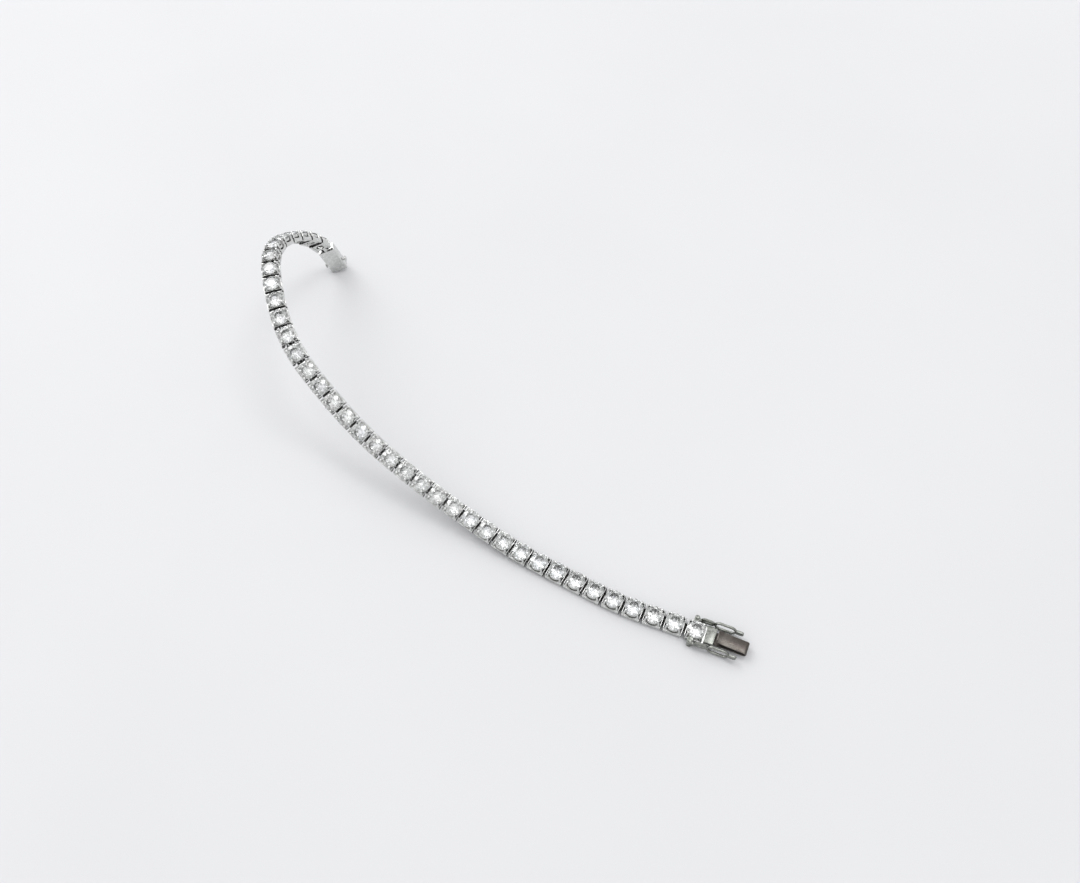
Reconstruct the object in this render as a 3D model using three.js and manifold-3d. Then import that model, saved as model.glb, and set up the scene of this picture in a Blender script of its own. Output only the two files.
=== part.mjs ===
// Tennis bracelet, unfastened: a row of four-claw links, each set with one round stone and pinned to the next, that
// hangs over a wrist and runs out flat on the table beside it. One end carries a folded spring tongue between two
// figure-eight safety latches, and the other end carries the box that the tongue snaps into.
// Millimetres, +Z up. The origin is where the underside of the top link sits on the wrist.
import * as THREE from 'three';
import { mergeVertices } from 'three/addons/utils/BufferGeometryUtils.js';
import Module from 'manifold-3d';

const wasm = await Module();
wasm.setup();

// ---- Driving dimensions ----
const PITCH = 4.8; // from one hinge pin to the next
const LINK_COUNT = 36;
const LINK_WIDTH = 4.5;
const PIN_HEIGHT = 0.75; // pin line above the underside of a link
const RUNNING_GAP = 0.3; // between two links, and between a link and its neighbour's ears
const STONE_DIAMETER = 4.1;
const STONE_SIDES = 8;
const HOLE_SIDES = 6;
const ARC_STEPS = 2; // in a quarter turn
const TONGUE_REACH = 7.4; // tongue tip beyond the face of the head that meets the box
const CUT_BEYOND = 1; // how far a cutting solid runs past the face that it cuts

// Heights above the pin line
const UNDERSIDE = -PIN_HEIGHT;
const BASE_TOP = 0.36;
const SEAT = { bottom: 0.55, radius: 1.95 };
const STONE = { culet: -0.1, girdle: 1.48, table: 2.05, tableShare: 0.56 };
const CLAW_FOOT = 0.1;
const CLAW_TIP = 1.95;

// Link
const RAIL_LENGTH = PITCH - 2 * RUNNING_GAP;
const RAIL_WIDTH = 0.7;
const OPEN_BACK_RADIUS = 0.9;
const CLAW = { along: 0.65, across: 0.76, footOut: 2.45, tipOut: 2.17, thickness: 0.48, width: 0.48 }; // out from the stone

// Hinge: one centre tab that turns on a pin between two ears
const HINGE = {
  radius: 0.55, hole: 0.36, pin: 0.2, tabWidth: 0.8, earWidth: 0.4, earGap: 0.2, pinSides: 5, rootTop: 0.15,
  backGap: 0.2, pinInset: 0.05,
};
const HINGE_ROOM = HINGE.radius + HINGE.backGap; // from the pin to the neighbour's centre block
const CENTRE_LENGTH = PITCH - 2 * HINGE_ROOM;
const ROOT_OVERLAP = 0.2; // how far tabs and ears run into the block that carries them

// Clasp head, measured from its hinge pin
const HEAD_LENGTH = 6.9;
const HEAD_STONE_X = 2.5;
const SHOULDER = { start: 4.7, width: 4.3, top: 1.15 };
const TONGUE_SLOT = { depth: 1.6, width: 3.3, bottom: -0.15, top: 0.35 };
const TONGUE = { width: 3.0, thickness: 0.3, rootGap: 0.1, mouthHeight: 1.6, foldRadius: 0.65, foldSteps: 6 };
const CATCH = { fromHead: 0.4, height: 0.45, width: 2.2 };

// Figure-eight latch, measured from its hinge pin
const LATCH_PIVOT = { x: 1.9, y: 3.0 };
const LATCH = { thickness: 0.7, height: 0.75, barrelRadius: 0.55, barrelHole: 0.36, pinRadius: 0.25, sides: 10 };
const LATCH_BARREL = { bottom: -0.3, top: 0.75 };
const LATCH_NECK = { start: 0.45, end: 1.4, bottom: -0.2, top: 0.65 };
const LATCH_LOOPS = [
  { start: 0.95, length: 3.2, height: 1.9, holeLength: 1.3, holeHeight: 0.5 },
  { start: 3.9, length: 5.1, height: 2.8, holeLength: 4.0, holeHeight: 1.7 },
];
const LATCH_LIP = { start: 8.6, length: 2.0, height: 1.3 };
const LUG = { radius: 0.6, lowTop: -0.4, highBottom: 0.85, highTop: 1.2, overlap: 0.3 };
const PIN_CAP = { radius: 0.5, topRadius: 0.35, height: 0.25, lift: 0.06 };

// Clasp box, measured from its hinge pin
const BOX = { start: HINGE_ROOM, length: 8.6, top: 2.0 };
const BOX_SLOT = { depth: 7.8, width: 3.4, bottom: -0.3, top: 1.45 };
const BOX_NOTCH = { length: 1.1, width: 2.6, overlap: 0.1 };
const PEG = {
  radius: 0.35, headRadius: 0.8, tipRadius: 0.5, headLength: 0.3, reach: 0.95, fromMouth: 2.2, overlap: 0.2, sides: 8,
};

// Route of the pin line, from the clasp head over the wrist to the box: a point, and the way the stones face there
const ROUTE = [
  { x: 97.0, y: -79.5, z: -26.6, faceX: 0.0, faceY: 0.0, faceZ: 1.0 },
  { x: 83.5, y: -74.0, z: -26.6, faceX: 0.0, faceY: 0.0, faceZ: 1.0 },
  { x: 71.0, y: -67.1, z: -26.6, faceX: 0.0, faceY: 0.0, faceZ: 1.0 },
  { x: 58.5, y: -59.8, z: -25.8, faceX: 0.0, faceY: -0.15, faceZ: 1.0 },
  { x: 46.5, y: -51.7, z: -23.6, faceX: 0.0, faceY: -0.3, faceZ: 1.0 },
  { x: 35.0, y: -43.8, z: -20.3, faceX: 0.0, faceY: -0.45, faceZ: 1.0 },
  { x: 24.0, y: -35.5, z: -16.0, faceX: -0.15, faceY: -0.75, faceZ: 1.0 },
  { x: 14.4, y: -26.9, z: -10.0, faceX: -0.05, faceY: -0.9, faceZ: 1.0 },
  { x: 6.1, y: -17.5, z: -3.5, faceX: 0.0, faceY: -0.45, faceZ: 1.0 },
  { x: 1.0, y: -4.7, z: 0.3, faceX: -0.05, faceY: -0.15, faceZ: 1.0 },
  { x: -1.6, y: 9.4, z: 0.0, faceX: -0.1, faceY: 0.15, faceZ: 1.0 },
  { x: 0.8, y: 20.8, z: -6.2, faceX: -0.25, faceY: 0.8, faceZ: 1.0 },
  { x: 5.6, y: 28.8, z: -16.6, faceX: -0.3, faceY: 1.0, faceZ: 0.4 },
  { x: 9.5, y: 30.5, z: -29.6, faceX: -0.2, faceY: 1.0, faceZ: 0.1 },
];

// ---- Finishes ----
function polishedMetal() {
  return new THREE.MeshStandardMaterial({ color: 0xc9cbcf, roughness: 0.18, metalness: 1.0 });
}

function darkenedSpring() {
  return new THREE.MeshStandardMaterial({ color: 0x8f8680, roughness: 0.35, metalness: 1.0 });
}

// ---- Solids ----
function solidFrom(geometry) {
  const plain = geometry.clone();
  plain.deleteAttribute('normal');
  plain.deleteAttribute('uv');
  const merged = mergeVertices(plain, 1e-4);
  return new wasm.Manifold(new wasm.Mesh({
    numProp: 3,
    vertProperties: new Float32Array(merged.attributes.position.array),
    triVerts: new Uint32Array(merged.index.array),
  }));
}

function geometryFrom(solid) {
  const mesh = solid.getMesh();
  const geometry = new THREE.BufferGeometry();
  geometry.setAttribute('position', new THREE.BufferAttribute(mesh.vertProperties, 3));
  geometry.setIndex(new THREE.BufferAttribute(mesh.triVerts, 1));
  geometry.computeVertexNormals();
  return geometry;
}

function joined(solids) {
  return solids.reduce((whole, next) => whole.add(next));
}

// A block between two corners
function block(low, high) {
  const geometry = new THREE.BoxGeometry(high[0] - low[0], high[1] - low[1], high[2] - low[2]);
  geometry.translate((low[0] + high[0]) / 2, (low[1] + high[1]) / 2, (low[2] + high[2]) / 2);
  return solidFrom(geometry);
}

// A round bar between two points, with a radius at each
function bar(from, to, fromRadius, toRadius, sides) {
  const start = new THREE.Vector3(...from);
  const along = new THREE.Vector3(...to).sub(start);
  const geometry = new THREE.CylinderGeometry(toRadius, fromRadius, along.length(), sides);
  geometry.applyQuaternion(new THREE.Quaternion().setFromUnitVectors(
    new THREE.Vector3(0, 1, 0), along.clone().normalize()));
  const middle = start.addScaledVector(along, 0.5);
  geometry.translate(middle.x, middle.y, middle.z);
  return solidFrom(geometry);
}

// An outline in plan, raised from one height to another
function raised(shape, bottom, top, curveSegments = ARC_STEPS) {
  const geometry = new THREE.ExtrudeGeometry(shape, { depth: top - bottom, bevelEnabled: false, curveSegments });
  geometry.translate(0, 0, bottom);
  return solidFrom(geometry);
}

// An outline in side view (length, height), as thick as width and centred on y
function sideCut(shape, width, y, curveSegments = ARC_STEPS) {
  const geometry = new THREE.ExtrudeGeometry(shape, { depth: width, bevelEnabled: false, curveSegments });
  geometry.translate(0, 0, -width / 2);
  geometry.rotateX(Math.PI / 2);
  geometry.translate(0, y, 0);
  return solidFrom(geometry);
}

function roundHole(x, y, radius) {
  const points = [];
  for (let side = 0; side < HOLE_SIDES; side += 1) {
    const angle = (-2 * Math.PI * side) / HOLE_SIDES;
    points.push(new THREE.Vector2(x + radius * Math.cos(angle), y + radius * Math.sin(angle)));
  }
  return new THREE.Path(points);
}

// A bar with round ends, lying along x from start
function stadium(start, length, height, middle) {
  const radius = height / 2;
  const shape = new THREE.Shape();
  shape.absarc(start + length - radius, middle, radius, -Math.PI / 2, Math.PI / 2, false);
  shape.absarc(start + radius, middle, radius, Math.PI / 2, 1.5 * Math.PI, false);
  return shape;
}

// ---- Stone and its setting ----
// A brilliant from culet to table, with the round seat that closes in under its girdle
function seatedStone(x) {
  const flatToCorner = 1 / Math.cos(Math.PI / STONE_SIDES);
  const radius = (STONE_DIAMETER / 2) * flatToCorner;
  const rise = (SEAT.bottom - STONE.culet) / (STONE.girdle - STONE.culet);
  const profile = [
    new THREE.Vector2(0, STONE.culet),
    new THREE.Vector2(radius * rise, SEAT.bottom),
    new THREE.Vector2(SEAT.radius * flatToCorner, SEAT.bottom),
    new THREE.Vector2(radius, STONE.girdle),
    new THREE.Vector2(radius * STONE.tableShare, STONE.table),
    new THREE.Vector2(0, STONE.table),
  ];
  const geometry = new THREE.LatheGeometry(profile, STONE_SIDES, Math.PI / STONE_SIDES);
  geometry.rotateX(Math.PI / 2);
  geometry.translate(x, 0, 0);
  return solidFrom(geometry);
}

// One claw: a four-sided bar that leans in from the corner of the base to the edge of the stone
function claw(x, alongSide, acrossSide) {
  const height = CLAW_TIP - CLAW_FOOT;
  const geometry = new THREE.BoxGeometry(CLAW.thickness, CLAW.width, height);
  geometry.rotateY(-Math.atan2(CLAW.footOut - CLAW.tipOut, height));
  geometry.translate((CLAW.footOut + CLAW.tipOut) / 2, 0, (CLAW_TIP + CLAW_FOOT) / 2);
  geometry.rotateZ(Math.atan2(acrossSide * CLAW.across, alongSide * CLAW.along));
  geometry.translate(x, 0, 0);
  return solidFrom(geometry);
}

function stoneInClaws(x) {
  const corners = [[-1, -1], [-1, 1], [1, -1], [1, 1]];
  return joined([seatedStone(x), ...corners.map(([along, across]) => claw(x, along, across))]);
}

// ---- Link ----
// Two side rails joined by a centre block that is open behind the stone
function linkBase() {
  const rail = RAIL_LENGTH / 2;
  const centre = CENTRE_LENGTH / 2;
  const outer = LINK_WIDTH / 2;
  const inner = outer - RAIL_WIDTH;
  const shape = new THREE.Shape([
    [-rail, -outer], [rail, -outer], [rail, -inner], [centre, -inner], [centre, inner], [rail, inner],
    [rail, outer], [-rail, outer], [-rail, inner], [-centre, inner], [-centre, -inner], [-rail, -inner],
  ].map(([x, y]) => new THREE.Vector2(x, y)));
  shape.holes.push(roundHole(0, 0, OPEN_BACK_RADIUS));
  return raised(shape, UNDERSIDE, BASE_TOP);
}

// The outline of a tab or ear that rises from its root to the round end about a pin
function knuckle(rootX, pinX) {
  const radius = HINGE.radius;
  const shape = new THREE.Shape();
  const away = Math.sign(pinX - rootX);
  const startAngle = (-away * Math.PI) / 2;
  shape.moveTo(rootX, away > 0 ? HINGE.rootTop : -radius);
  shape.lineTo(rootX, away > 0 ? -radius : HINGE.rootTop);
  shape.absarc(pinX, 0, radius, startAngle, startAngle + Math.PI, false);
  return shape;
}

function hingeTab(rootX, pinX) {
  const shape = knuckle(rootX, pinX);
  shape.holes.push(roundHole(pinX, 0, HINGE.hole));
  return sideCut(shape, HINGE.tabWidth, 0);
}

function hingeEarsWithPin(rootX, pinX) {
  const earY = HINGE.tabWidth / 2 + HINGE.earGap + HINGE.earWidth / 2;
  const pinEnd = earY + HINGE.earWidth / 2 - HINGE.pinInset;
  const ears = [-earY, earY].map((y) => sideCut(knuckle(rootX, pinX), HINGE.earWidth, y));
  const pin = bar([pinX, -pinEnd, 0], [pinX, pinEnd, 0], HINGE.pin, HINGE.pin, HINGE.pinSides);
  return joined([...ears, pin]);
}

function linkGeometry() {
  const root = CENTRE_LENGTH / 2 - ROOT_OVERLAP;
  return geometryFrom(joined([
    linkBase(),
    stoneInClaws(0),
    hingeTab(-root, -PITCH / 2),
    hingeEarsWithPin(root, PITCH / 2),
  ]));
}

// ---- Clasp head ----
function headBody() {
  const half = LINK_WIDTH / 2;
  const base = block([HINGE_ROOM, -half, UNDERSIDE], [HEAD_LENGTH, half, BASE_TOP]);
  const shoulder = block(
    [SHOULDER.start, -SHOULDER.width / 2, UNDERSIDE], [HEAD_LENGTH, SHOULDER.width / 2, SHOULDER.top]);
  const slot = block(
    [HEAD_LENGTH - TONGUE_SLOT.depth, -TONGUE_SLOT.width / 2, TONGUE_SLOT.bottom],
    [HEAD_LENGTH + CUT_BEYOND, TONGUE_SLOT.width / 2, TONGUE_SLOT.top]);
  return base.add(shoulder).subtract(slot);
}

// One ear of a latch hinge: reaches out from the side of the head and is drilled for the pin
function latchLug(side, bottom, top) {
  const { x, y } = LATCH_PIVOT;
  const shape = new THREE.Shape();
  const inner = LINK_WIDTH / 2 - LUG.overlap;
  shape.moveTo(x - LUG.radius, inner);
  shape.lineTo(x + LUG.radius, inner);
  shape.absarc(x, y, LUG.radius, 0, Math.PI, false);
  shape.holes.push(roundHole(x, y, LATCH.barrelHole));
  const lug = raised(shape, bottom, top);
  return side > 0 ? lug : lug.mirror([0, 1, 0]);
}

function headGeometry() {
  const lugs = [-1, 1].flatMap((side) => [
    latchLug(side, UNDERSIDE, LUG.lowTop),
    latchLug(side, LUG.highBottom, LUG.highTop),
  ]);
  return geometryFrom(joined([
    headBody(),
    stoneInClaws(HEAD_STONE_X),
    hingeEarsWithPin(HINGE_ROOM + ROOT_OVERLAP, 0),
    ...lugs,
  ]));
}

// ---- Tongue: one strip, folded back on itself at the tip, with a catch for the thumb at its end ----
function tongueGeometry() {
  const { thickness, foldRadius, mouthHeight, rootGap, width } = TONGUE;
  const bottom = TONGUE_SLOT.bottom + rootGap;
  const rootX = HEAD_LENGTH - TONGUE_SLOT.depth + rootGap;
  const catchX = HEAD_LENGTH + CATCH.fromHead;
  const foldX = HEAD_LENGTH + TONGUE_REACH - foldRadius;
  const foldZ = bottom + foldRadius;
  const leafBottom = bottom + mouthHeight;
  const shape = new THREE.Shape();
  shape.moveTo(rootX, bottom + thickness);
  shape.lineTo(rootX, bottom);
  shape.absarc(foldX, foldZ, foldRadius, -Math.PI / 2, Math.PI / 2, false);
  shape.lineTo(catchX, leafBottom + thickness);
  shape.lineTo(catchX, leafBottom);
  shape.absarc(foldX, foldZ, foldRadius - thickness, Math.PI / 2, -Math.PI / 2, true);
  const thumbCatch = block(
    [catchX, -CATCH.width / 2, leafBottom],
    [catchX + thickness, CATCH.width / 2, leafBottom + thickness + CATCH.height]);
  return geometryFrom(sideCut(shape, width, 0, TONGUE.foldSteps).add(thumbCatch));
}

// ---- Figure-eight safety latches ----
function latchLoop(loop) {
  const shape = stadium(loop.start, loop.length, loop.height, LATCH.height);
  const holeStart = loop.start + (loop.length - loop.holeLength) / 2;
  shape.holes.push(stadium(holeStart, loop.holeLength, loop.holeHeight, LATCH.height));
  return sideCut(shape, LATCH.thickness, 0);
}

function latchGeometry() {
  const halfThick = LATCH.thickness / 2;
  const barrel = bar([0, 0, LATCH_BARREL.bottom], [0, 0, LATCH_BARREL.top],
    LATCH.barrelRadius, LATCH.barrelRadius, LATCH.sides);
  const bore = bar([0, 0, LATCH_BARREL.bottom - CUT_BEYOND], [0, 0, LATCH_BARREL.top + CUT_BEYOND],
    LATCH.barrelHole, LATCH.barrelHole, LATCH.sides);
  const neck = block(
    [LATCH_NECK.start, -halfThick, LATCH_NECK.bottom], [LATCH_NECK.end, halfThick, LATCH_NECK.top]);
  const lip = sideCut(
    stadium(LATCH_LIP.start, LATCH_LIP.length, LATCH_LIP.height, LATCH.height), LATCH.thickness, 0);
  return geometryFrom(joined([barrel, neck, ...LATCH_LOOPS.map(latchLoop), lip]).subtract(bore));
}

function latchPinGeometry() {
  const capBottom = LUG.highTop + PIN_CAP.lift;
  const shank = bar([0, 0, UNDERSIDE], [0, 0, capBottom + PIN_CAP.height / 2],
    LATCH.pinRadius, LATCH.pinRadius, LATCH.sides);
  const cap = bar([0, 0, capBottom], [0, 0, capBottom + PIN_CAP.height],
    PIN_CAP.radius, PIN_CAP.topRadius, LATCH.sides);
  return geometryFrom(shank.add(cap));
}

// ---- Clasp box ----
function boxPeg(side, mouthX) {
  const x = mouthX - PEG.fromMouth;
  const reach = LINK_WIDTH / 2 + PEG.reach;
  const start = [x, side * (LINK_WIDTH / 2 - PEG.overlap), LATCH.height];
  const head = [x, side * (reach - PEG.headLength), LATCH.height];
  const tip = [x, side * reach, LATCH.height];
  const stem = bar(start, head, PEG.radius, PEG.radius, PEG.sides);
  return stem.add(bar(head, tip, PEG.headRadius, PEG.tipRadius, PEG.sides));
}

function boxGeometry() {
  const mouth = BOX.start + BOX.length;
  const half = LINK_WIDTH / 2;
  const shell = block([BOX.start, -half, UNDERSIDE], [mouth, half, BOX.top]);
  const slot = block(
    [mouth - BOX_SLOT.depth, -BOX_SLOT.width / 2, BOX_SLOT.bottom],
    [mouth + CUT_BEYOND, BOX_SLOT.width / 2, BOX_SLOT.top]);
  const notch = block(
    [mouth - BOX_NOTCH.length, -BOX_NOTCH.width / 2, BOX_SLOT.top - BOX_NOTCH.overlap],
    [mouth + CUT_BEYOND, BOX_NOTCH.width / 2, BOX.top + CUT_BEYOND]);
  return geometryFrom(joined([
    shell.subtract(slot).subtract(notch),
    hingeTab(BOX.start + ROOT_OVERLAP, 0),
    boxPeg(-1, mouth),
    boxPeg(1, mouth),
  ]));
}

// ---- Route ----
const centreLine = new THREE.CatmullRomCurve3(
  ROUTE.map(({ x, y, z }) => new THREE.Vector3(x, y, z)), false, 'catmullrom', 0.5);
const facing = new THREE.CatmullRomCurve3(
  ROUTE.map(({ faceX, faceY, faceZ }) => new THREE.Vector3(faceX, faceY, faceZ)), false, 'catmullrom', 0.5);

const HALVINGS = 40;

// The place on the route, as a share of its stations, that lies one pitch in a straight line beyond a pin
function stepAlong(share) {
  const pin = centreLine.getPoint(share);
  let near = share;
  let far = Math.min(share + 1 / (ROUTE.length - 1), 1);
  for (let halving = 0; halving < HALVINGS; halving += 1) {
    const middle = (near + far) / 2;
    if (centreLine.getPoint(middle).distanceTo(pin) < PITCH) near = middle;
    else far = middle;
  }
  return (near + far) / 2;
}

function pinShares() {
  const shares = [0];
  for (let index = 0; index < LINK_COUNT; index += 1) shares.push(stepAlong(shares[index]));
  return shares;
}

// A group at origin whose x runs along the given direction and whose z is as near as it can be to the face
function framed(origin, along, face) {
  const xAxis = along.clone().normalize();
  const zAxis = face.clone().addScaledVector(xAxis, -face.dot(xAxis)).normalize();
  const yAxis = new THREE.Vector3().crossVectors(zAxis, xAxis);
  const group = new THREE.Group();
  group.quaternion.setFromRotationMatrix(new THREE.Matrix4().makeBasis(xAxis, yAxis, zAxis));
  group.position.copy(origin);
  return group;
}

function named(name, geometry, material) {
  const mesh = new THREE.Mesh(geometry, material);
  mesh.name = name;
  return mesh;
}

// ---- Assembly ----
function chain(shares) {
  const group = new THREE.Group();
  const geometry = linkGeometry();
  for (let index = 0; index < LINK_COUNT; index += 1) {
    const start = centreLine.getPoint(shares[index]);
    const end = centreLine.getPoint(shares[index + 1]);
    const middle = start.clone().lerp(end, 0.5);
    const frame = framed(middle, end.clone().sub(start), facing.getPoint((shares[index] + shares[index + 1]) / 2));
    frame.add(named(`link_${String(index + 1).padStart(2, '0')}`, geometry, polishedMetal()));
    group.add(frame);
  }
  return group;
}

function claspHead() {
  const outward = new THREE.Vector3(ROUTE[0].x - ROUTE[1].x, ROUTE[0].y - ROUTE[1].y, 0);
  const group = framed(centreLine.getPoint(0), outward, new THREE.Vector3(0, 0, 1));
  group.add(named('clasp_head', headGeometry(), polishedMetal()));
  group.add(named('clasp_tongue', tongueGeometry(), darkenedSpring()));
  for (const [side, name] of [[1, 'left'], [-1, 'right']]) {
    const latch = named(`latch_${name}`, latchGeometry(), polishedMetal());
    const pinMesh = named(`latch_pin_${name}`, latchPinGeometry(), polishedMetal());
    for (const mesh of [latch, pinMesh]) {
      mesh.position.set(LATCH_PIVOT.x, side * LATCH_PIVOT.y, 0);
      group.add(mesh);
    }
  }
  return group;
}

function claspBox(shares) {
  const lastShare = shares[LINK_COUNT];
  const pin = centreLine.getPoint(lastShare);
  const ahead = centreLine.getPoint(Math.min(lastShare + 0.5 / (ROUTE.length - 1), 1));
  const group = framed(pin, ahead.sub(pin), facing.getPoint(lastShare));
  group.add(named('clasp_box', boxGeometry(), polishedMetal()));
  return group;
}

const bracelet = new THREE.Group();
const shares = pinShares();
bracelet.add(chain(shares), claspHead(), claspBox(shares));

export default bracelet;
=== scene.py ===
"""Looks of an unfastened tennis bracelet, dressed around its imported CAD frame.

Each sub-assembly is a class. Its sizes are dataclass fields, in millimetres as on a maker's drawing, and
its methods model the meshes at the bench, dress them in their finishes and set them in place. A finished
piece is in metres, in the frame of the CAD, and rides on the CAD body that it belongs to.
"""

import logging
import math
from collections.abc import Callable, Iterator, Sequence
from contextlib import contextmanager
from dataclasses import dataclass, field
from enum import Enum

import bmesh
import bpy
from mathutils import Matrix, Vector


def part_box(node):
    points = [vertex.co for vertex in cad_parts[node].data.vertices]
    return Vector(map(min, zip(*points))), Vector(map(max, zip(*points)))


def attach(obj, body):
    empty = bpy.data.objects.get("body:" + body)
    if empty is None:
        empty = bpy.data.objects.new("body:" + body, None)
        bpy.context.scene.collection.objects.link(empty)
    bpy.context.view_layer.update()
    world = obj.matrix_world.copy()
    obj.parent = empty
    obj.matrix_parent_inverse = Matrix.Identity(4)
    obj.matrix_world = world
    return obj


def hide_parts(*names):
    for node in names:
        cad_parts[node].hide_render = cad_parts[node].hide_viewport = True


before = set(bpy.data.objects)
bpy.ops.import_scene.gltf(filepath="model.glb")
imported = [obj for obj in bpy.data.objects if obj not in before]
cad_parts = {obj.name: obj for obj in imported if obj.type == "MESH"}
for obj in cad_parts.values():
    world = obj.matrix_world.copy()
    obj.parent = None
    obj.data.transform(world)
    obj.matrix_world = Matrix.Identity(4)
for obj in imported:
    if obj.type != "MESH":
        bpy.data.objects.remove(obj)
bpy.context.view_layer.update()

MM = 0.001
SMOOTH_ANGLE = math.radians(38)
UP = Vector((0, 0, 1))
X, Y, Z = range(3)

# An edge runs along an axis if its direction has more than ALONG of it, and across it with less than ACROSS
ALONG = 0.9
ACROSS = 0.5
# Points of a finished mesh that are nearer than this are one, in millimetres
MERGE_DISTANCE = 0.004
# How exactly an edge's place is met, and how far past a face a test for it reaches, in millimetres
EXACTLY = 1e-3
JUST_PAST = 0.01
# How far a cutter runs past what it cuts, in millimetres
OVERRUN = 1.0
# An end is made round with this share of its half width, which leaves a sliver of the flat
ROUND_END = 0.99
log = logging.getLogger("bracelet")


class Body(Enum):
    """The CAD bodies that pieces ride on."""

    BRACELET = "bracelet"
    LEFT_LATCH = "left_latch"
    RIGHT_LATCH = "right_latch"


class Slot(Enum):
    """The record's material slots."""

    WHITE_METAL = "white_metal"
    LATCH_METAL = "latch_metal"
    SPRING_METAL = "spring_metal"
    STONE = "stone"


class Part(Enum):
    """What an edit-mode selection is made of."""

    POINT = "VERT"
    EDGE = "EDGE"
    FACE = "FACE"


# -------------------------------------------------------------------------------------------------
# Bench tools
# -------------------------------------------------------------------------------------------------
def everything(*_: Vector) -> bool:
    """Accepts any point, edge or face."""
    return True


def along(axis: int) -> Callable[[Vector, Vector], bool]:
    """A test for the edges that run along an axis."""
    return lambda middle, way: abs(way[axis]) > ALONG


def across(axis: int) -> Callable[[Vector, Vector], bool]:
    """A test for the edges that run across an axis."""
    return lambda middle, way: abs(way[axis]) < ACROSS


def in_slot(middle: Vector, start: float, width: float, bottom: float, top: float) -> bool:
    """Whether a face lies in a slot that runs along x.

    Args:
        middle: The face's middle.
        start: Where the slot starts along x.
        width: The slot's width.
        bottom: The slot's floor.
        top: The slot's ceiling.

    Returns:
        True on the slot's walls.
    """
    return (
        middle.x > start - JUST_PAST
        and abs(middle.y) < width / 2 + JUST_PAST
        and bottom - JUST_PAST < middle.z < top + JUST_PAST
    )


def deselect_all() -> None:
    """Leaves nothing selected and nothing active."""
    for thing in bpy.context.selected_objects:
        thing.select_set(False)
    bpy.context.view_layer.objects.active = None


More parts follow.
